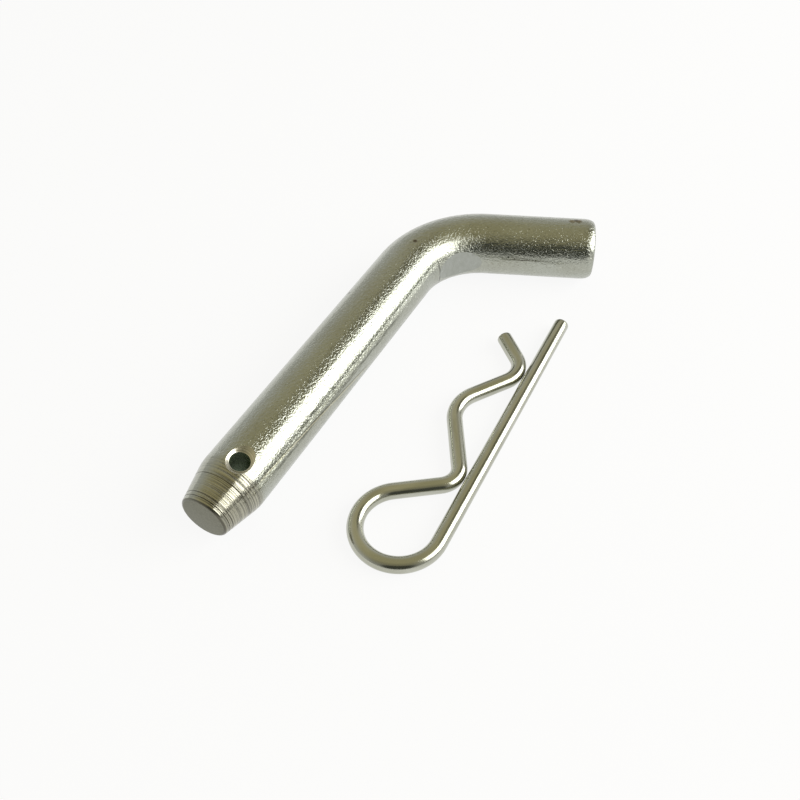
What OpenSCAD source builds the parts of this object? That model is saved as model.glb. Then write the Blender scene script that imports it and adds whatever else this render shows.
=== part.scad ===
// Bent hitch pin with its R clip, lying side by side.
// The origin is the centre of the cross hole, on the axis of the shank. The shank runs
// along +X, the rod bends towards -Y, and both pieces lie on the plane one rod radius
// below the origin.

/* [Rod] */
// Diameter of the round bar that the pin is bent from
rod_d = 16; // [14:0.5:20]
// Straight shank from the centre of the cross hole to the start of the bend
shank_run = 76; // [55:1:120]
// Shank from the flat nose face to the centre of the cross hole
hole_to_nose = 12.25; // [11.5:0.25:18]
// Inside radius of the bend
bend_inside_r = 15; // [13:0.5:30]
// Angle that the rod turns through at the bend
bend_angle = 66.5; // [60:0.5:95]
// Straight arm past the bend, up to its end face
arm_run = 28.5; // [20:0.5:50]

/* [Bending print] */
// Radius of the round former that pressed into the inside of the bend
former_r = 9.5; // [7:0.5:11]
// Depth of the print that the former left
print_depth = 0.9; // [0.5:0.1:1.6]
// Place of the deepest point, as an angle along the bend
print_at = 39; // [30:1:45]

/* [Turned nose] */
// Length of the turned cone
cone_len = 10; // [8.5:0.5:11]
// Diameter of the flat nose face
nose_face_d = 11.5; // [9:0.5:12.5]
// Break of the edge between the cone and the nose face
nose_edge = 0.5; // [0.1:0.1:0.7]
// Radius that blends the cone into the shank
shoulder_r = 12; // [4:1:20]
// Distances of the deep tool grooves from the nose face
groove_at = [1.2, 2.1, 6.6]; // [1:0.1:6.6]
// Width of each groove
groove_w = 0.3; // [0.2:0.05:0.5]
// Depth of each groove
groove_depth = 0.14; // [0.05:0.01:0.2]

/* [Arm end] */
// Length of the rolled edge at the arm's end face
arm_edge_len = 2; // [0.6:0.1:2.5]
// How far the rolled edge draws the end face in from the side of the rod
arm_edge_drop = 1.2; // [0.3:0.1:1.6]

/* [Cross hole] */
// Play of the clip's wire in the cross hole, on the diameter
hole_play = 0.9; // [0.4:0.1:1.2]
// Turn of the cross hole about the shank, away from straight up
hole_turn = 16; // [0:1:30]
// Width of the countersink around each mouth of the hole
countersink_w = 1.5; // [0.4:0.1:1.7]
// Depth of the countersink
countersink_depth = 0.9; // [0.4:0.1:1.4]

/* [Clip wire] */
// Diameter of the spring wire
wire_d = 3.8; // [3.2:0.1:4.2]
// Straight leg that goes through the cross hole, from the eye to its tip
leg_run = 74.5; // [68:0.5:90]
// Break of the edge at both cut ends of the wire
wire_edge = 0.4; // [0.2:0.1:0.8]

/* [Clip eye] */
// Inside radius of the round eye
eye_inside_r = 7.7; // [7:0.1:9]
// Angle at which the strand leaves the eye and dives towards the leg
dive_angle = 55.5; // [48:0.5:60]

/* [Clip strand] */
// Gap between the leg and the strand at the trough, the bend next to the eye
trough_gap = 0.5; // [0.3:0.1:1.2]
// Inside radius of the trough
trough_inside_r = 3; // [1.8:0.1:4]
// Slope of the strand from the trough up to the hump
rise_angle = 29; // [25:0.5:34]
// Room between the rod and the hump when the clip sits on the pin
hump_room = 2.6; // [1.5:0.1:3.5]
// Inside radius of the hump
hump_inside_r = 6.7; // [5:0.1:8.5]
// Slope of the strand from the hump down to the heel
fall_angle = 36; // [32:0.5:42]
// Gap between the leg and the strand at the heel, the bend before the free end
heel_gap = 0.4; // [0.3:0.1:1.2]
// Inside radius of the heel
heel_inside_r = 4.4; // [3:0.1:5]
// Slope of the flared free end, away from the leg
flare_angle = 46; // [35:0.5:55]
// Straight length of the flared end
flare_run = 8; // [5:0.5:12]

/* [Lay] */
// Clear floor between the side of the shank and the eye of the clip
lay_off_shank = 16; // [5:0.1:40]
// Clear floor between the tip of the clip's leg and the side of the arm
lay_off_arm = 15.2; // [5:0.1:40]
// Turn of the clip's leg from the line of the shank
lay_turn = 2.3; // [0:0.1:5]

/* [Hidden] */
$fn = 64;

rod_r = rod_d / 2;
wire_r = wire_d / 2;

// How far a cutting shape runs past the face that it cuts
past = 1;
// Extra angle of the pin's bend at each end, before it is trimmed square
spare = 4;
// How much thicker the wire is in its bends than in its straight runs, on the radius
bend_swell = 0.02;
// How far a straight run of wire reaches into the bend that it meets
lap = 0.2;
// Steps in the blend at the shoulder and in the rolled edge
blend_steps = 4;

pin_zinc = [0.74, 0.73, 0.66];
clip_zinc = [0.66, 0.65, 0.56];

// Shank and nose
nose_r = nose_face_d / 2;
shank_len = hole_to_nose + shank_run;
cone_slope = (rod_r - nose_r) / cone_len;
cone_angle = atan(cone_slope);
shoulder_at = cone_len + shoulder_r * tan(cone_angle / 2);

// Radius of the cone at a distance s from the nose face
function cone_r(s) = nose_r + cone_slope * s;

// The three corners of a groove in the cone, as [radius, distance from the nose face]
function groove(s) = [
    [cone_r(s - groove_w / 2), s - groove_w / 2],
    [cone_r(s) - groove_depth, s],
    [cone_r(s + groove_w / 2), s + groove_w / 2]
];

// Points of the blend that turns the cone into the straight shank
function shoulder() = [
    for (i = [0 : blend_steps])
        let (a = cone_angle * (i / blend_steps - 1))
        [rod_r - shoulder_r * (1 - cos(a)), shoulder_at + shoulder_r * sin(a)]
];

// Points of the rolled edge, as [radius, distance along the arm]
function rolled_edge() = [
    for (i = [0 : blend_steps])
        let (a = 90 * i / blend_steps)
        [rod_r - arm_edge_drop * (1 - cos(a)), arm_run - arm_edge_len * (1 - sin(a))]
];

// Bend of the rod
bend_r = bend_inside_r + rod_r;
trim_len = (bend_r + rod_d) * tan(spare);
former_off = bend_inside_r + print_depth - former_r;

// Cross hole, and how far its countersinks are drawn, as a share of their depth, so that
// they run past the rod
hole_d = wire_d + hole_play;
sink_reach = 1 + past / countersink_depth;

// Centreline radii of the clip's bends, and the levels that its strand reaches, measured
// from the centreline of the leg
eye_r = eye_inside_r + wire_r;
trough_r = trough_inside_r + wire_r;
hump_r = hump_inside_r + wire_r;
heel_r = heel_inside_r + wire_r;
trough_level = wire_d + trough_gap;
hump_level = rod_r + hump_room + wire_r;
heel_level = wire_d + heel_gap;

// Height that a bend of radius r takes up while it turns level wire by an angle
function bend_height(r, angle) = r * (1 - cos(angle));

// Straight runs that join the bends
dive_run = (2 * eye_r - bend_height(eye_r, dive_angle) - bend_height(trough_r, dive_angle)
    - trough_level) / sin(dive_angle);
rise_run = (hump_level - bend_height(hump_r, rise_angle) - bend_height(trough_r, rise_angle)
    - trough_level) / sin(rise_angle);
fall_run = (hump_level - bend_height(hump_r, fall_angle) - bend_height(heel_r, fall_angle)
    - heel_level) / sin(fall_angle);

// The wire from the leg onwards: each step is a straight run, then the radius and the turn
// of a bend, where a turn to the left is positive
wire_steps = [
    [0, eye_r, -(180 + dive_angle)],
    [dive_run, trough_r, dive_angle + rise_angle],
    [rise_run, hump_r, -(rise_angle + fall_angle)],
    [fall_run, heel_r, fall_angle + flare_angle]
];

// Where the clip lies: the end of its leg at the eye
leg_foot_y = -(rod_r + lay_off_shank + 2 * eye_r + wire_r);
leg_tip_y = leg_foot_y + leg_run * sin(lay_turn);
arm_start = [shank_run + bend_r * sin(bend_angle), -bend_height(bend_r, bend_angle)];
arm_side_x = arm_start[0] + (arm_start[1] - leg_tip_y) / tan(bend_angle)
    - rod_r / sin(bend_angle);
leg_foot_x = arm_side_x - lay_off_arm / sin(bend_angle) - leg_run * cos(lay_turn);

// Round bar along +X from the origin
module bar(d, run) {
    rotate([0, 90, 0]) cylinder(d = d, h = run);
}

// Solid turned about the +X axis from points given as [radius, distance along X]
module turned(points) {
    rotate([0, 90, 0]) rotate_extrude() polygon(points);
}

// Arc of round bar about the Z axis, from an angle on and through a turn
module arc(d, r, from, turn) {
    rotate_extrude(angle = turn, start = from) translate([r, 0]) circle(d = d);
}

// Straight shank from the bend at the origin to the turned nose, in one profile
module shank() {
    translate([shank_len, 0, 0]) mirror([1, 0, 0]) turned(concat(
        [[0, 0], [nose_r - nose_edge, 0], [cone_r(nose_edge), nose_edge]],
        [for (s = groove_at) each groove(s)],
        shoulder(),
        [[rod_r, shank_len], [0, shank_len]]
    ));
}

// Straight arm with the rolled edge at its end face
module arm() {
    turned(concat([[0, 0], [rod_r, 0]], rolled_edge(), [[0, arm_run]]));
}

// Through hole with a countersink at both mouths
module cross_hole() {
    rotate([hole_turn, 0, 0]) {
        cylinder(d = hole_d, h = rod_d + 2 * past, center = true);
        for (end = [0, 180]) rotate([end, 0, 0])
            translate([0, 0, rod_r - countersink_depth])
                cylinder(d1 = hole_d, d2 = hole_d + 2 * countersink_w * sink_reach,
                    h = countersink_depth * sink_reach);
    }
}

// The round former, where it pressed into the inside of the bend
module former() {
    translate([shank_run, -bend_r, 0]) rotate(-print_at) translate([0, former_off, 0])
        cylinder(r = former_r, h = rod_d, center = true);
}

// Block that trims the bend square where the shank or the arm meets it, with the bend's
// middle on +Y
module trim() {
    rotate(bend_angle / 2) translate([-trim_len, bend_r - rod_r - past, -rod_r - past])
        cube([trim_len, rod_d + 2 * past, rod_d + 2 * past]);
}

// The bent rod with the bend's centre at the origin and its middle on +Y. The arc is swept
// a little too long, and both its ends are trimmed to the faces that it meets.
module bent_rod() {
    rotate(bend_angle / 2) translate([0, bend_r, 0]) rotate(180) shank();
    mirror([1, 0, 0]) rotate(bend_angle / 2) translate([0, bend_r, 0]) rotate(180) arm();
    difference() {
        rotate(bend_angle / 2) arc(rod_d, bend_r, 90 + spare, -(bend_angle + 2 * spare));
        trim();
        mirror([1, 0, 0]) trim();
    }
}

module hitch_pin() {
    color(pin_zinc) difference() {
        translate([shank_run, -bend_r, 0]) rotate(-bend_angle / 2) bent_rod();
        cross_hole();
        former();
    }
}

// Straight end of the wire with its edge broken, along +X from the bend at the origin
module cut_end(run) {
    translate([-lap, 0, 0]) bar(wire_d, run - wire_edge + lap);
    translate([run - wire_edge, 0, 0]) rotate([0, 90, 0])
        cylinder(d1 = wire_d, d2 = wire_d - 2 * wire_edge, h = wire_edge);
}

// The bent wire from one of its steps to the flared end, along +X from the origin
module bent_wire(i) {
    run = wire_steps[i][0];
    r = wire_steps[i][1];
    turn = wire_steps[i][2];
    side = sign(turn);
    if (run > 0) translate([-lap, 0, 0]) bar(wire_d, run + 2 * lap);
    translate([run, side * r, 0]) {
        arc(wire_d + 2 * bend_swell, r, -side * 90, turn);
        rotate(turn) translate([0, -side * r, 0])
            if (i < len(wire_steps) - 1) bent_wire(i + 1);
            else cut_end(flare_run);
    }
}

module r_clip() {
    color(clip_zinc) translate([leg_foot_x, leg_foot_y, wire_r + bend_swell - rod_r])
        rotate(lay_turn) {
            cut_end(leg_run);
            rotate(180) bent_wire(0);
        }
}

hitch_pin();
r_clip();
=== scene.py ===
import math

import bmesh
import bpy
from mathutils import Matrix, Quaternion, Vector


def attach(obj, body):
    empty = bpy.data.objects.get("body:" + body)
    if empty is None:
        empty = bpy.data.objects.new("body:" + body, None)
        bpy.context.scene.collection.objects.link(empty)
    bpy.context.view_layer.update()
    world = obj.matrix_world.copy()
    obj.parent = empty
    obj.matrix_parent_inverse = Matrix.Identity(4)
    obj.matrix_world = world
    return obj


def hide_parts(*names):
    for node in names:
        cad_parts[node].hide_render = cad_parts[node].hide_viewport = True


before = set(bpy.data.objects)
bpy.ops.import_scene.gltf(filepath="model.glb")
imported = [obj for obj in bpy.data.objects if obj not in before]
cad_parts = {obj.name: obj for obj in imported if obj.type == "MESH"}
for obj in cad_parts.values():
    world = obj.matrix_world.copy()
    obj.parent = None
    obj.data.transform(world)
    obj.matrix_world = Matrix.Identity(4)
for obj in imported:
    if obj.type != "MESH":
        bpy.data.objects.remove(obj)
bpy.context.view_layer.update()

MM = 0.001

# ---- Sizes, in millimetres and degrees ----
# The solids have the same, but for the arm's edge, the grooves, the fine rings of the nose, the
# wire's tips and the levels of the strand. All of these differ by less than a millimetre.

ROD_R = 8.0
SHANK_START, SHANK_END = -12.25, 76.0
BEND_R, BEND_ANGLE = 23.0, 66.5
ARM_RUN = 28.5
NOSE_R, NOSE_EDGE, CONE_LEN = 5.75, 0.5, 10.0
GROOVES_AT, GROOVE_W, GROOVE_DEPTH = (1.2, 2.1, 6.6), 0.26, 0.07
RING_DEPTH, PASS_PITCH = 0.005, 0.52
SHOULDER_R = 12.0
ARM_EDGE_LEN, ARM_EDGE_DROP = 2.8, 1.3
HOLE_R, HOLE_TURN, SINK_W, SINK_DEPTH = 2.35, 16.0, 1.5, 0.9
FORMER_R, PRINT_DEPTH, PRINT_AT = 9.5, 0.9, 39.0

WIRE_R, BEND_SWELL = 1.9, 0.02
LEG_RUN, FLARE_RUN = 74.5, 8.0
EYE_R, TROUGH_R, HUMP_R, HEEL_R = 9.6, 4.9, 8.6, 6.3
DIVE, RISE, FALL, FLARE = 55.5, 29.0, 36.0, 46.0
TROUGH_LEVEL, HUMP_LEVEL, HEEL_LEVEL = 3.95, 12.4, 3.9
LEG_FOOT = (9.651, -45.1)
LAY_TURN = 2.3

WIRE_TIP = [(0, 1.5), (0.06, 1.66), (0.18, 1.79), (0.34, 1.87), (0.55, WIRE_R)]

FLOOR_Z = -ROD_R

# Sides of the turned shapes, and the least angle, in degrees, of an edge that stays sharp.
ROD_SIDES, WIRE_SIDES, HOLE_SIDES, FORMER_SIDES = 192, 72, 96, 256
ROD_SHARP, WIRE_SHARP = 24, 40

# Longest steps of the outlines, in millimetres, and where the finely stepped part by the hole ends.
CONE_STEP, FINE_STEP, SHANK_STEP, ARM_STEP = 0.07, 0.5, 1.6, 1.2
WIRE_BEND_STEP, WIRE_RUN_STEP = 0.35, 1.5
HOLE_PART_END = 8

# ---- Places along a bent bar ----


def bent_path(start, heading, steps):
    """The runs and arcs of a bar laid flat: each step is a straight run, a radius and a turn."""
    legs, along, (x, y), h = [], 0.0, start, math.radians(heading)
    for run, radius, turn in steps:
        legs.append((along, run, x, y, h, 0.0, 0.0))
        along, x, y = along + run, x + run * math.cos(h), y + run * math.sin(h)
        if turn:
            side, sweep = math.copysign(1.0, turn), math.radians(abs(turn))
            legs.append((along, radius * sweep, x, y, h, radius, side))
            cx, cy = x - side * radius * math.sin(h), y + side * radius * math.cos(h)
            h += side * sweep
            x, y = cx + side * radius * math.sin(h), cy - side * radius * math.cos(h)
            along += radius * sweep
    return legs, along


def bend_point(legs, s, u, w):
    """Where a point of the straight bar goes in the bent one: s along, u to the left, w up."""
    leg = next((g for g in reversed(legs) if s >= g[0]), legs[0])
    start, _, x, y, h, radius, side = leg
    if radius:
        turned = h + side * (s - start) / radius
        cx, cy = x - side * radius * math.sin(h), y + side * radius * math.cos(h)
        reach = radius - side * u
        return (cx + side * reach * math.sin(turned), cy - side * reach * math.cos(turned), w)
    run = s - start
    return (x + run * math.cos(h) - u * math.sin(h), y + run * math.sin(h) + u * math.cos(h), w)


PIN_LEGS, PIN_LEN = bent_path((SHANK_START, 0.0), 0.0,
                              [(SHANK_END - SHANK_START, BEND_R, -BEND_ANGLE), (ARM_RUN, 0, 0)])
BEND_LEN = BEND_R * math.radians(BEND_ANGLE)


def unbend_pin(x, y, w):
    """The place in the straight rod of a point of the bent pin, with s = 0 at the cross hole."""
    if x <= SHANK_END:
        return (x, y, w)
    cx, cy = SHANK_END, -BEND_R
    t = math.atan2(x - cx, y - cy)
    sweep = math.radians(BEND_ANGLE)
    if 0 <= t <= sweep:
        return (SHANK_END + BEND_R * t, math.hypot(x - cx, y - cy) - BEND_R, w)
    ex, ey = cx + BEND_R * math.sin(sweep), cy + BEND_R * math.cos(sweep)
    dx, dy = x - ex, y - ey
    along = dx * math.cos(sweep) - dy * math.sin(sweep)
    return (SHANK_END + BEND_LEN + along, dx * math.sin(sweep) + dy * math.cos(sweep), w)


def rise_of(radius, angle):
    """How far an arc of this radius and turn climbs from its flat end."""
    return radius * (1 - math.cos(math.radians(angle)))


def slope_run(drop, angle):
    """Length of a straight run that takes up this drop."""
    return drop / math.sin(math.radians(angle))


DIVE_RUN = slope_run(
    2 * EYE_R - rise_of(EYE_R, DIVE) - rise_of(TROUGH_R, DIVE) - TROUGH_LEVEL, DIVE)
RISE_RUN = slope_run(
    HUMP_LEVEL - rise_of(HUMP_R, RISE) - rise_of(TROUGH_R, RISE) - TROUGH_LEVEL, RISE)
FALL_RUN = slope_run(
    HUMP_LEVEL - rise_of(HUMP_R, FALL) - rise_of(HEEL_R, FALL) - HEEL_LEVEL, FALL)
TURN = math.radians(LAY_TURN)
LEG_TIP = (LEG_FOOT[0] + LEG_RUN * math.cos(TURN), LEG_FOOT[1] + LEG_RUN * math.sin(TURN))
CLIP_LEGS, CLIP_LEN = bent_path(LEG_TIP, 180 + LAY_TURN, [
    (LEG_RUN, EYE_R, -(180 + DIVE)), (DIVE_RUN, TROUGH_R, DIVE + RISE),
    (RISE_RUN, HUMP_R, -(RISE + FALL)), (FALL_RUN, HEEL_R, FALL + FLARE), (FLARE_RUN, 0, 0)])

# ---- Turning, cutting and laying the pieces ----


def turned_bar(profile, sides):
    """Bar turned about the X axis from (distance along X, radius) pairs, closed at both ends."""
    bm = bmesh.new()
    s, r = profile[0]
    stand = Matrix.Translation((s, 0, 0)) @ Matrix.Rotation(math.pi / 2, 4, "Y")
    bmesh.ops.create_circle(bm, cap_ends=True, radius=r, segments=sides, matrix=stand)
    rim = bm.edges[:]
    for s2, r2 in profile[1:]:
        grown = bmesh.ops.extrude_edge_only(bm, edges=rim)["geom"]
        ring = {v for v in grown if isinstance(v, bmesh.types.BMVert)}
        rim = [e for e in grown if isinstance(e, bmesh.types.BMEdge) and set(e.verts) <= ring]
        bmesh.ops.scale(bm, vec=(1, r2 / r, r2 / r), verts=list(ring))
        bmesh.ops.translate(bm, vec=(s2 - s, 0, 0), verts=list(ring))
        s, r = s2, r2
    bmesh.ops.edgeloop_fill(bm, edges=rim)
    bmesh.ops.recalc_face_normals(bm, faces=bm.faces)
    return bm


def stations(start, end, step):
    """Even places from start to end, both included, no further apart than step."""
    count = max(1, math.ceil((end - start) / step - 1e-6))
    return [start + (end - start) * i / count for i in range(count + 1)]


def piece_from(bm, name):
    mesh = bpy.data.meshes.new(name)
    bm.to_mesh(mesh)
    bm.free()
    piece = bpy.data.objects.new(name, mesh)
    bpy.context.scene.collection.objects.link(piece)
    return piece


def cut(piece, tool):
    """Cuts the tool's shape out of the piece, and takes the tool away."""
    step = piece.modifiers.new("cut", "BOOLEAN")
    step.operation, step.solver, step.object = "DIFFERENCE", "EXACT", tool
    shaped = piece.evaluated_get(bpy.context.evaluated_depsgraph_get())
    mesh = bpy.data.meshes.new_from_object(shaped)
    piece.modifiers.clear()
    piece.data = mesh
    bpy.data.objects.remove(tool)


def cone_r(s):
    """Radius of the nose's cone at s from its face."""
    return NOSE_R + (ROD_R - NOSE_R) / CONE_LEN * s


def fine_rings(s):
    """Uneven waves that the turning tool leaves along the cone."""
    wide = math.sin(17.9 * s + 1.3 * math.sin(1.9 * s))
    narrow = math.sin(33.7 * s + 2 * math.sin(3.3 * s))
    return wide + 0.4 * narrow


def nose_profile():
    """Face, broken edge, cone with its fine rings and grooves, and the shoulder."""
    angle = math.atan((ROD_R - NOSE_R) / CONE_LEN)
    shoulder_at = CONE_LEN + SHOULDER_R * math.tan(angle / 2)
    blend_from = shoulder_at - SHOULDER_R * math.sin(angle)
    points = [(NOSE_EDGE * s, NOSE_R - NOSE_EDGE * drop)
              for s, drop in ((0, 1), (0.16, 0.5), (0.45, 0.1))]
    points.append((NOSE_EDGE, cone_r(NOSE_EDGE)))
    for s in stations(NOSE_EDGE, shoulder_at, CONE_STEP)[1:]:
        if s < blend_from:
            r = cone_r(s)
        else:
            r = ROD_R - SHOULDER_R * (1 - math.cos(math.asin((shoulder_at - s) / SHOULDER_R)))
        fade = min(1, max(0, (shoulder_at + 0.6 - s) / 2.5))
        r -= RING_DEPTH * fade * (1 + fine_rings(s))
        for at in GROOVES_AT:
            r -= GROOVE_DEPTH * max(0, 1 - abs(s - at) / (GROOVE_W / 2))
        points.append((s, r))
    return points


def pin_profile():
    """Outline of the whole rod before it is bent, finely stepped where it will bend."""
    points = [(SHANK_START + s, r) for s, r in nose_profile()]
    bend_end = SHANK_END + BEND_LEN
    end = bend_end + ARM_RUN
    for start, stop, step in ((points[-1][0], HOLE_PART_END, FINE_STEP),
                              (HOLE_PART_END, SHANK_END, SHANK_STEP),
                              (SHANK_END, bend_end, FINE_STEP),
                              (bend_end, end - ARM_EDGE_LEN, ARM_STEP)):
        points += [(s, ROD_R) for s in stations(start, stop, step)[1:]]
    for i in range(1, 9):
        a = math.radians(90 * i / 8)
        points.append((end - ARM_EDGE_LEN * (1 - math.sin(a)),
                       ROD_R - ARM_EDGE_DROP * (1 - math.cos(a))))
    return points


def hole_axis():
    """Direction of the cross hole, which leans a little off upright."""
    a = math.radians(HOLE_TURN)
    return Vector((0, -math.sin(a), math.cos(a)))


def hole_tool():
    """Through hole with a countersink at both mouths, about the hole's own axis."""
    mouth, past = ROD_R - SINK_DEPTH, ROD_R + 1
    flare = HOLE_R + SINK_W * (past - mouth) / SINK_DEPTH
    profile = [(-past, flare), (-mouth, HOLE_R), (mouth, HOLE_R), (past, flare)]
    bm = turned_bar(profile, HOLE_SIDES)
    stand = Matrix.Rotation(math.radians(HOLE_TURN), 4, "X") @ Matrix.Rotation(-math.pi / 2, 4, "Y")
    bm.transform(stand)
    return piece_from(bm, "hole_tool")


def former_centre():
    """Middle of the forming tool that left its print inside the bend."""
    off, a = BEND_R - ROD_R + PRINT_DEPTH - FORMER_R, math.radians(PRINT_AT)
    return SHANK_END + off * math.sin(a), -BEND_R + off * math.cos(a)


def former_tool():
    bm = turned_bar([(-ROD_R, FORMER_R), (ROD_R, FORMER_R)], FORMER_SIDES)
    bm.transform(Matrix.Translation((*former_centre(), 0)) @ Matrix.Rotation(-math.pi / 2, 4, "Y"))
    return piece_from(bm, "former_tool")


def lay_straight_places(piece, places):
    """Keeps each point's place in the straight bar, which the finishes follow."""
    layer = piece.data.attributes.new("straight", "FLOAT_VECTOR", "POINT")
    for item, place in zip(layer.data, places):
        item.vector = place


def finish_shape(piece, sharp_angle):
    piece.data.transform(Matrix.Scale(MM, 4))
    piece.data.shade_smooth()
    piece.data.set_sharp_from_angle(angle=math.radians(sharp_angle))


def make_pin():
    """The turned rod, drilled, bent, and pressed by the forming tool."""
    pin = piece_from(turned_bar(pin_profile(), ROD_SIDES), "bent_pin")
    cut(pin, hole_tool())
    for v in pin.data.vertices:
        s, u, w = v.co
        v.co = bend_point(PIN_LEGS, s - SHANK_START, u, w)
    cut(pin, former_tool())
    lay_straight_places(pin, [unbend_pin(*v.co) for v in pin.data.vertices])
    return pin


def make_clip():
    """The bent wire, lying as high as in the solids, whose bends are a hair fuller."""
    points = list(WIRE_TIP)
    for start, run, _, _, _, radius, _ in CLIP_LEGS:
        end = min(start + run, CLIP_LEN - 0.6)
        step = WIRE_BEND_STEP if radius else WIRE_RUN_STEP
        points += [(s, WIRE_R) for s in stations(points[-1][0], end, step)[1:]]
    points += [(CLIP_LEN - s, r) for s, r in reversed(WIRE_TIP[:-1])]
    clip = piece_from(turned_bar(points, WIRE_SIDES), "clip_wire")
    lay_straight_places(clip, [v.co.copy() for v in clip.data.vertices])
    lift = WIRE_R + BEND_SWELL - ROD_R
    for v in clip.data.vertices:
        s, u, w = v.co
        x, y, z = bend_point(CLIP_LEGS, s, u, w)
        v.co = (x, y, z + lift)
    return clip


# ---- Finishes ----


def node(tree, kind, inputs=None, **settings):
    """New node: inputs are sockets to link or values to set, settings its other choices."""
    made = tree.nodes.new(kind)
    for key, value in settings.items():
        setattr(made, key, value)
    for key, value in (inputs or {}).items():
        if isinstance(value, bpy.types.NodeSocket):
            tree.links.new(value, made.inputs[key])
        else:
            made.inputs[key].default_value = value
    return made


def calc(tree, operation, *values):
    return node(tree, "ShaderNodeMath", dict(enumerate(values)), operation=operation).outputs[0]


def times(tree, *values):
    """Product of all the values."""
    product = values[0]
    for value in values[1:]:
        product = calc(tree, "MULTIPLY", product, value)
    return product


def off_from(tree, value, at):
    """How far a value is from another, either way."""
    return calc(tree, "ABSOLUTE", calc(tree, "SUBTRACT", value, at))


def along_way(tree, way, direction):
    """How closely a way points in one direction: 1 when it does, 0 when square to it."""
    return node(tree, "ShaderNodeVectorMath", {0: way, 1: direction},
                operation="DOT_PRODUCT").outputs["Value"]


def ramp(tree, value, low, high, out_low=0.0, out_high=1.0, smooth=True):
    """Goes from out_low to out_high as the value goes from low to high."""
    ends = {"From Min": low, "From Max": high, "To Min": out_low, "To Max": out_high}
    return node(tree, "ShaderNodeMapRange", {"Value": value, **ends},
                interpolation_type="SMOOTHSTEP" if smooth else "LINEAR").outputs[0]


def mix(tree, share, a, b):
    """Colour a, with this share of colour b."""
    made = node(tree, "ShaderNodeMix", {0: share}, data_type="RGBA")
    for socket, value in ((made.inputs[6], a), (made.inputs[7], b)):
        if isinstance(value, bpy.types.NodeSocket):
            tree.links.new(value, socket)
        else:
            socket.default_value = (*value, 1)
    return made.outputs[2]


def grain(tree, places, scale, stretch=(1, 1, 1), detail=2.0, rough=0.5):
    """Noise in millimetres of the straight bar: scale is cells to a millimetre."""
    placed = node(tree, "ShaderNodeMapping", {"Vector": places, "Scale": stretch}).outputs[0]
    noise = {"Vector": placed, "Scale": scale, "Detail": detail, "Roughness": rough}
    return node(tree, "ShaderNodeTexNoise", noise).outputs["Fac"]


def start_finish(name):
    """New material, and the place in the straight bar that its patterns follow."""
    mat = bpy.data.materials.new(name)
    mat.use_nodes = True
    tree = mat.node_tree
    tree.nodes.clear()
    places = node(tree, "ShaderNodeAttribute", attribute_name="straight").outputs["Vector"]
    return mat, tree, places


def end_finish(tree, colour, rough, height):
    """Joins colour, roughness and height, in millimetres, into a metal."""
    relief = {"Height": height, "Strength": 1.0, "Distance": MM}
    bump = node(tree, "ShaderNodeBump", relief).outputs[0]
    shader = node(tree, "ShaderNodeBsdfPrincipled",
                  {"Base Color": colour, "Roughness": rough, "Normal": bump, "Metallic": 1.0})
    out = node(tree, "ShaderNodeOutputMaterial")
    tree.links.new(shader.outputs[0], out.inputs[0])


def spot(tree, places, at, radius):
    """1 near one point of the straight bar, 0 away from it."""
    gap = node(tree, "ShaderNodeVectorMath", {0: places, 1: at},
               operation="DISTANCE").outputs["Value"]
    return ramp(tree, gap, radius, radius * 0.4)


def line(tree, along, round_at, angle_at, start, end, width):
    """1 on a fine line along the rod, at an angle in radians. Its ends and width are in mm."""
    gap = times(tree, off_from(tree, round_at, angle_at), ROD_R)
    on = ramp(tree, gap, width, width * 0.35)
    return times(tree, on, ramp(tree, along, start, start + 3), ramp(tree, along, end, end - 6))


# Stains and nicks of the rod: place in the straight bar, radius and colour.
STAINS = (((57.0, 5.38, 5.92), 0.7, (0.10, 0.09, 0.07)),
          ((80.5, -0.32, 7.99), 0.75, (0.13, 0.11, 0.08)),
          ((126.6, 1.9, 7.78), 1.35, (0.15, 0.12, 0.05)),
          ((124.9, 1.7, 7.82), 1.2, (0.20, 0.165, 0.08)),
          ((126.0, 2.4, 7.62), 0.9, (0.09, 0.07, 0.035)),
          ((108.6, -7.68, 2.25), 0.36, (0.06, 0.06, 0.05)))


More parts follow.
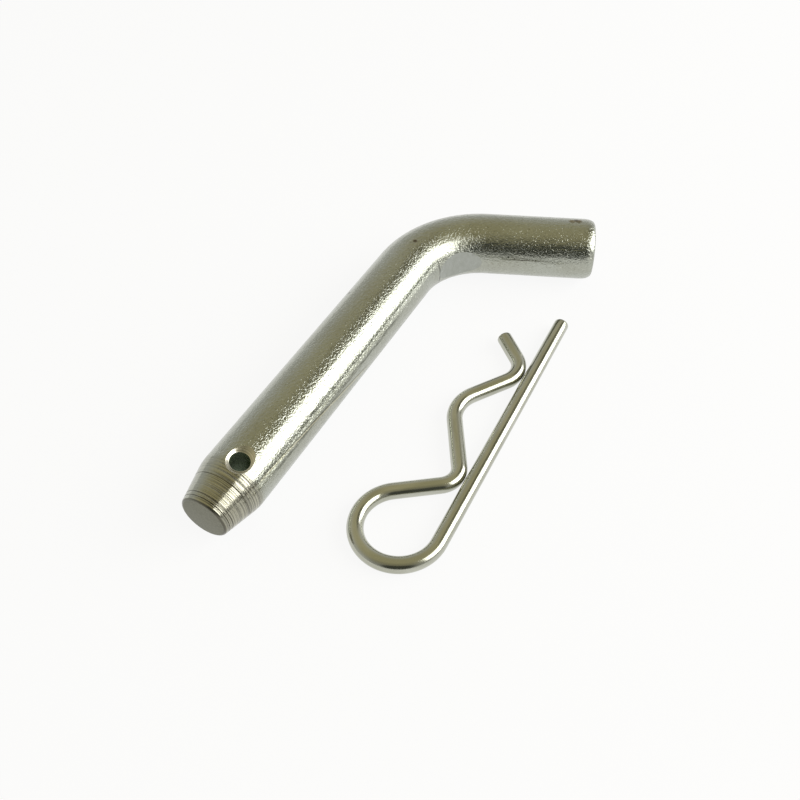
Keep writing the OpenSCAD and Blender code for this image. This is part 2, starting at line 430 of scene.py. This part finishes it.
def rod_marks_and_painted_light(tree, p, colour):
    """Draw marks along the rod and the small stains, with painted light: a pale painted reflection
    band, dark painted reflections below the highlight and of the clip on the arm, and painted shade
    at the print's step.
    """
    along, across, up = node(tree, "ShaderNodeSeparateXYZ", {0: p}).outputs
    round_at = calc(tree, "ARCTAN2", times(tree, across, -1.0), up)
    wander = ramp(tree, grain(tree, p, 0.12, (1, 0, 0), 2, 0.5), 0, 1, -0.03, 0.03, smooth=False)

    # Painted reflection: a pale band along the rod at a fixed turn below the highlight, standing
    # for the bright floor seen in the metal.
    painted_floor_reflection_at = calc(tree, "ADD", wander, 1.165)
    painted_floor_reflection = line(tree, along, round_at, painted_floor_reflection_at, -4.0, 84.0, 0.7)
    colour = mix(tree, times(tree, painted_floor_reflection, 0.8), colour, (0.60, 0.62, 0.53))

    # Painted dark reflection: dark crumbs along the lower edge of the highlight, standing for the
    # dark strip under the window seen in the metal.
    crumbs = ramp(tree, grain(tree, p, 3.0, (0.8, 1, 1), 3, 0.6), 0.44, 0.52)
    painted_dark_reflection = times(tree, line(tree, along, round_at, 1.05, -8.0, 84.0, 0.6), crumbs)
    colour = mix(tree, times(tree, painted_dark_reflection, 0.85), colour, (0.08, 0.085, 0.06))

    band_at = calc(tree, "ADD", wander, 1.31)
    streak = ramp(tree, grain(tree, p, 3.2, (0.12, 1, 1), 3, 0.6), 0.36, 0.56)
    band = times(tree, line(tree, along, round_at, band_at, 2.0, 62.0, 0.55), streak)
    colour = mix(tree, times(tree, band, 0.8), colour, (0.13, 0.135, 0.105))

    seam_turn = calc(tree, "MULTIPLY_ADD", along, 0.00015, 0.0066)
    seam_at = calc(tree, "ADD", calc(tree, "MULTIPLY_ADD", seam_turn, along, 1.065), wander)
    seam = line(tree, along, round_at, seam_at, -2.0, 46.0, 0.2)
    colour = mix(tree, times(tree, seam, 0.9), colour, (0.16, 0.16, 0.12))
    beside_at = calc(tree, "ADD", seam_at, 0.05)
    beside = line(tree, along, round_at, beside_at, -2.0, 46.0, 0.18)
    colour = mix(tree, times(tree, beside, 0.7), colour, (0.60, 0.56, 0.38))

    # Painted reflection: a dark line on the arm's underside where the clip is seen in the metal.
    painted_clip_reflection = line(tree, along, round_at, 1.38, 106.0, 121.0, 0.22)
    colour = mix(tree, times(tree, painted_clip_reflection, 0.75), colour, (0.16, 0.155, 0.12))

    # Painted shade: a dark line along the step of the forming tool's print, on the inner side of
    # the bend.
    step = ramp(tree, off_from(tree, along, 82.2), 0.55, 0.2)
    step = times(tree, step, ramp(tree, across, -6.3, -7.1))
    colour = mix(tree, times(tree, step, 0.75), colour, (0.15, 0.155, 0.13))

    for at, radius, tint in STAINS:
        colour = mix(tree, spot(tree, p, at, radius), colour, tint)
    return colour


def nose_colour(tree, along, colour, ring, share):
    """Darker rings on the cone, painted shadow on the broken edge and painted shade in the grooves.
    """
    tone = mix(tree, ramp(tree, ring, 0.45, 0.52), (0.12, 0.105, 0.07), (0.43, 0.405, 0.30))
    colour = mix(tree, share, colour, tone)
    # Painted shadow: the broken edge by the face is darkened all round, standing for the chamfer's
    # shadow.
    painted_rim_shadow = ramp(tree, along, SHANK_START + 0.42, SHANK_START + 0.25, 0, 0.75)
    colour = mix(tree, painted_rim_shadow, colour, (0.08, 0.075, 0.055))
    # Painted shade: each groove is darkened in colour.
    for at in GROOVES_AT:
        painted_groove_shade = ramp(tree, off_from(tree, along, SHANK_START + at), 0.13, 0.07, 0, 0.75)
        colour = mix(tree, painted_groove_shade, colour, (0.06, 0.055, 0.04))
    return colour


def rod_skin(tree, p, across):
    """Height of the drawn rod in millimetres: pits, less deep on the outer side, and draw marks."""
    pits = ramp(tree, grain(tree, p, 1.7, (0.8, 1, 1), 1, 0.5), 0.42, 0.54)
    small_pits = ramp(tree, grain(tree, p, 3.1, (0.8, 1, 1), 1, 0.5), 0.42, 0.55)
    pitted = grain(tree, p, 1.5, (0.75, 1, 1), 3, 0.6)
    swell = grain(tree, p, 0.35, (0.4, 1, 1), 2, 0.5)
    draw = grain(tree, p, 2.6, (0.03, 1, 1), 2, 0.6)
    skin = times(tree, pits, 0.028)
    skin = calc(tree, "MULTIPLY_ADD", small_pits, 0.016, skin)
    skin = calc(tree, "MULTIPLY_ADD", pitted, 0.036, skin)
    skin = times(tree, skin, ramp(tree, across, 6.5, 0.0, 0.4, 1.0))
    skin = calc(tree, "MULTIPLY_ADD", swell, 0.05, skin)
    return calc(tree, "MULTIPLY_ADD", draw, 0.012, skin)


def nose_skin(tree, p, along, ring):
    """Height of the turned nose in millimetres: scored passes of the tool, unevenly deep."""
    pass_at = calc(tree, "MULTIPLY_ADD", along, 1 / PASS_PITCH, times(tree, ring, 2.4))
    off_pass = times(tree, calc(tree, "PINGPONG", pass_at, 0.5), PASS_PITCH)
    scored = ramp(tree, off_pass, 0.13, 0.0, 0, -0.055, smooth=False)
    uneven = ramp(tree, grain(tree, p, 1.0, (0.9, 0.01, 0.01), 1, 0.5), 0.38, 0.58, 0.15, 1)
    return calc(tree, "MULTIPLY_ADD", ring, 0.045, times(tree, scored, uneven))


def rod_plating():
    """Bright zinc over a pitted drawn rod, with tool rings on its turned nose."""
    mat, tree, p = start_finish("rod_plating")
    along, across = node(tree, "ShaderNodeSeparateXYZ", {0: p}).outputs[:2]
    on_nose = ramp(tree, along, -0.5, -2.6)
    deeper_side = ramp(tree, across, 2.5, -1.5, 0.3, 1.0)
    ring = grain(tree, p, 1.0, (3.1, 0.01, 0.01), 3, 0.7)

    tone = grain(tree, p, 0.16, (0.5, 1, 1), 4, 0.6)
    colour = mix(tree, ramp(tree, tone, 0.38, 0.62), (0.415, 0.43, 0.375), (0.39, 0.40, 0.34))
    fleck = grain(tree, p, 2.3, (0.8, 1, 1), 3, 0.6)
    colour = mix(tree, ramp(tree, fleck, 0.58, 0.68, 0, 0.5), colour, (0.56, 0.57, 0.50))
    colour = mix(tree, ramp(tree, fleck, 0.42, 0.30, 0, 0.6), colour, (0.25, 0.25, 0.185))
    colour = rod_marks_and_painted_light(tree, p, colour)
    colour = nose_colour(tree, along, colour, ring, times(tree, on_nose, deeper_side, 0.62))

    turned = times(tree, nose_skin(tree, p, along, ring), deeper_side)
    height = node(tree, "ShaderNodeMix",
                  {0: on_nose, 2: rod_skin(tree, p, across), 3: turned}).outputs[0]
    rough = ramp(tree, grain(tree, p, 0.9, (0.6, 1, 1), 3, 0.6), 0.3, 0.7, 0.08, 0.17)
    end_finish(tree, colour, rough, height)
    return mat


def plain_zinc(name, dark, light, rough_range, scale, depth):
    """Even, finely grained zinc between two tones."""
    mat, tree, p = start_finish(name)
    tone = grain(tree, p, scale, detail=4, rough=0.6)
    colour = mix(tree, ramp(tree, tone, 0.35, 0.65), dark, light)
    height = times(tree, grain(tree, p, scale * 2, detail=3, rough=0.6), depth)
    rough = ramp(tree, tone, 0.3, 0.7, *rough_range)
    end_finish(tree, colour, rough, height)
    return mat


def sink_rings():
    """Countersink with the tool's fine rings about the axis of the hole."""
    mat, tree, p = start_finish("countersink")
    ring = node(tree, "ShaderNodeTexNoise",
                {"W": along_way(tree, p, hole_axis()), "Scale": 6.0, "Detail": 2.0},
                noise_dimensions="1D").outputs["Fac"]
    colour = mix(tree, ramp(tree, ring, 0.35, 0.65), (0.50, 0.48, 0.38), (0.72, 0.70, 0.60))
    end_finish(tree, colour, 0.22, times(tree, ring, 0.03))
    return mat


def wire_plating():
    """Bright zinc on drawn wire, with scuffs along it."""
    mat, tree, p = start_finish("wire_plating")
    tone = grain(tree, p, 0.35, (0.25, 1, 1), 4, 0.6)
    colour = mix(tree, ramp(tree, tone, 0.35, 0.65), (0.43, 0.435, 0.36), (0.52, 0.525, 0.455))
    scuff = grain(tree, p, 2.2, (0.06, 1, 1), 3, 0.6)
    colour = mix(tree, ramp(tree, scuff, 0.62, 0.72, 0, 0.5), colour, (0.30, 0.29, 0.23))
    height = times(tree, grain(tree, p, 3.0, (0.08, 1, 1), 3, 0.6), 0.006)
    height = calc(tree, "MULTIPLY_ADD", grain(tree, p, 4.0, (0.5, 1, 1), 2, 0.5), 0.002, height)
    rough = ramp(tree, scuff, 0.3, 0.7, 0.13, 0.22)
    end_finish(tree, colour, rough, height)
    return mat


# Places of the pin's finishes in its list, after the plating of the rod itself.
NOSE_FACE, BORE_WALL, COUNTERSINK, FORMER_PRINT, ARM_FACE = range(1, 6)


def dress_pin(pin):
    """Gives the nose's face, the hole, the print and the arm's face their own finishes."""
    finishes = [
        rod_plating(),
        plain_zinc("nose_face", (0.21, 0.21, 0.165), (0.28, 0.278, 0.225), (0.5, 0.62), 1.4, 0.014),
        plain_zinc("bore_wall", (0.20, 0.25, 0.165), (0.26, 0.32, 0.21), (0.55, 0.7), 1.2, 0.02),
        sink_rings(),
        plain_zinc("former_print", (0.35, 0.365, 0.325), (0.39, 0.405, 0.37), (0.2, 0.28),
                   0.4, 0.006),
        plain_zinc("arm_face", (0.33, 0.33, 0.29), (0.44, 0.43, 0.38), (0.4, 0.5), 1.4, 0.02),
    ]
    for finish in finishes:
        pin.data.materials.append(finish)
    axis = hole_axis()
    fx, fy = former_centre()
    arm_end, mouth = PIN_LEN + SHANK_START, ROD_R - SINK_DEPTH
    # The small numbers below are how far, in millimetres, a face's middle may be off its surface.
    for face in pin.data.polygons:
        c = face.center
        s, u, w = unbend_pin(*c)
        depth = abs(c.dot(axis))
        off = (c - axis * c.dot(axis)).length
        off_sink = abs(off - HOLE_R - (depth - mouth) * SINK_W / SINK_DEPTH)
        off_former = abs(math.hypot(c.x - fx, c.y - fy) - FORMER_R)
        if s < SHANK_START + 0.01:
            face.material_index = NOSE_FACE
        elif off < HOLE_R + 0.02 and depth < mouth + 0.05:
            face.material_index = BORE_WALL
        elif off < HOLE_R + SINK_W + 0.6 and off_sink < 0.04:
            face.material_index = COUNTERSINK
        elif off_former < 0.02 and math.hypot(u, w) < ROD_R - 0.005:
            face.material_index = FORMER_PRINT
        elif s > arm_end - 0.01:
            face.material_index = ARM_FACE


def make_pieces():
    pin = make_pin()
    dress_pin(pin)
    finish_shape(pin, ROD_SHARP)
    clip = make_clip()
    clip.data.materials.append(wire_plating())
    finish_shape(clip, WIRE_SHARP)
    for piece, solid, finish in ((pin, "hitch_pin", "pin_zinc"), (clip, "r_clip", "clip_zinc")):
        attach(piece, "root")
        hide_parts(solid)


# ---- Floor, light and camera ----

# Places in metres, directions from the middle of the set.
FLOOR_MIDDLE, FLOOR_REACH = (0.04, -0.02), 8.0
FLOOR_WHITE_SHARE = 0.9
SET_MIDDLE = Vector((0.045, -0.02, 0.0))
CAMERA_PLACE = Vector((-0.08995, -0.0935, 0.169))
CAMERA_TARGET = Vector((0.04264, -0.0171, -0.008))
CAMERA_ROLL, CAMERA_LENS = -1.05, 42.917


def make_floor():
    """White table: seen as white, and still darkened by the shadows of the pieces."""
    bm = bmesh.new()
    bmesh.ops.create_grid(bm, x_segments=1, y_segments=1, size=FLOOR_REACH,
                          matrix=Matrix.Translation((*FLOOR_MIDDLE, FLOOR_Z * MM)))
    floor = piece_from(bm, "floor")
    mat = bpy.data.materials.new("white_table")
    mat.use_nodes = True
    tree = mat.node_tree
    tree.nodes.clear()
    seen = node(tree, "ShaderNodeLightPath")
    direct = calc(tree, "MAXIMUM", seen.outputs["Is Camera Ray"], seen.outputs["Is Glossy Ray"])
    direct = calc(tree, "MAXIMUM", direct, seen.outputs["Is Transmission Ray"])
    paper = node(tree, "ShaderNodeBsdfDiffuse", {"Color": (0.88, 0.88, 0.87, 1)})
    glow = node(tree, "ShaderNodeEmission", {"Color": (1, 1, 1, 1), "Strength": 1.0})
    white = times(tree, direct, FLOOR_WHITE_SHARE)
    both = node(tree, "ShaderNodeMixShader", {0: white, 1: paper.outputs[0], 2: glow.outputs[0]})
    out = node(tree, "ShaderNodeOutputMaterial")
    tree.links.new(both.outputs[0], out.inputs[0])
    floor.data.materials.append(mat)


def make_world():
    """A dim room: neutral walls, a warmer ceiling, a dark corner, and a darker window frame."""
    world = bpy.data.worlds.new("room")
    bpy.context.scene.world = world
    world.use_nodes = True
    tree = world.node_tree
    tree.nodes.clear()
    way = node(tree, "ShaderNodeTexCoord").outputs["Generated"]
    up = node(tree, "ShaderNodeSeparateXYZ", {0: way}).outputs[2]
    colour = mix(tree, ramp(tree, up, 0.15, 0.95), (0.59, 0.59, 0.57), (0.49, 0.45, 0.285))

    below = along_way(tree, way, Vector((0.45, -0.89, 0.0)).normalized())
    sill = times(tree, ramp(tree, below, 0.72, 0.88), ramp(tree, up, 0.12, 0.06), 0.5)
    colour = mix(tree, sill, colour, (0.12, 0.125, 0.10))

    above = along_way(tree, way, Vector((0.64, -0.25, 0.73)).normalized())
    colour = mix(tree, ramp(tree, above, 0.955, 0.99, 0, 0.8), colour, (0.10, 0.095, 0.06))

    corner = along_way(tree, way, Vector((-0.84, -0.43, 0.34)).normalized())
    colour = mix(tree, ramp(tree, corner, 0.40, 0.86, 0, 0.45), colour, (0.10, 0.10, 0.075))
    colour = mix(tree, ramp(tree, corner, 0.84, 0.92, 0, 0.92), colour, (0.05, 0.055, 0.045))

    back = node(tree, "ShaderNodeBackground", {"Color": colour, "Strength": 1.0})
    out = node(tree, "ShaderNodeOutputWorld")
    tree.links.new(back.outputs[0], out.inputs[0])


def make_panel(name, way, distance, width, height, radiance, turn):
    """White area lamp of an even brightness, that faces the middle of the set."""
    lamp = bpy.data.lights.new(name, "AREA")
    lamp.shape, lamp.size, lamp.size_y = "RECTANGLE", width, height
    lamp.energy = radiance * math.pi * width * height
    thing = bpy.data.objects.new(name, lamp)
    bpy.context.scene.collection.objects.link(thing)
    facing = -Vector(way).normalized()
    thing.location = SET_MIDDLE - facing * distance
    thing.rotation_mode = "QUATERNION"
    thing.rotation_quaternion = facing.to_track_quat("-Z", "Y")
    thing.rotation_quaternion @= Quaternion((0, 0, 1), math.radians(turn))


def make_camera():
    back = (CAMERA_PLACE - CAMERA_TARGET).normalized()
    right = (-back).cross(Vector((0, 0, 1))).normalized()
    right = Matrix.Rotation(math.radians(CAMERA_ROLL), 3, back) @ right
    up = back.cross(right)
    camera = bpy.data.cameras.new("camera")
    camera.sensor_width, camera.lens = 36.0, CAMERA_LENS
    camera.clip_start, camera.clip_end = 0.005, 20.0
    thing = bpy.data.objects.new("camera", camera)
    axes = Matrix((right, up, back)).transposed().to_4x4()
    thing.matrix_world = Matrix.Translation(CAMERA_PLACE) @ axes
    bpy.context.scene.collection.objects.link(thing)
    bpy.context.scene.camera = thing


make_camera()
make_world()
make_floor()
make_panel("window", (0.295, -0.624, 0.393), distance=0.8, width=0.95, height=0.56,
           radiance=4.0, turn=-25.5)
make_pieces()
bpy.context.scene.view_settings.view_transform = "Standard"
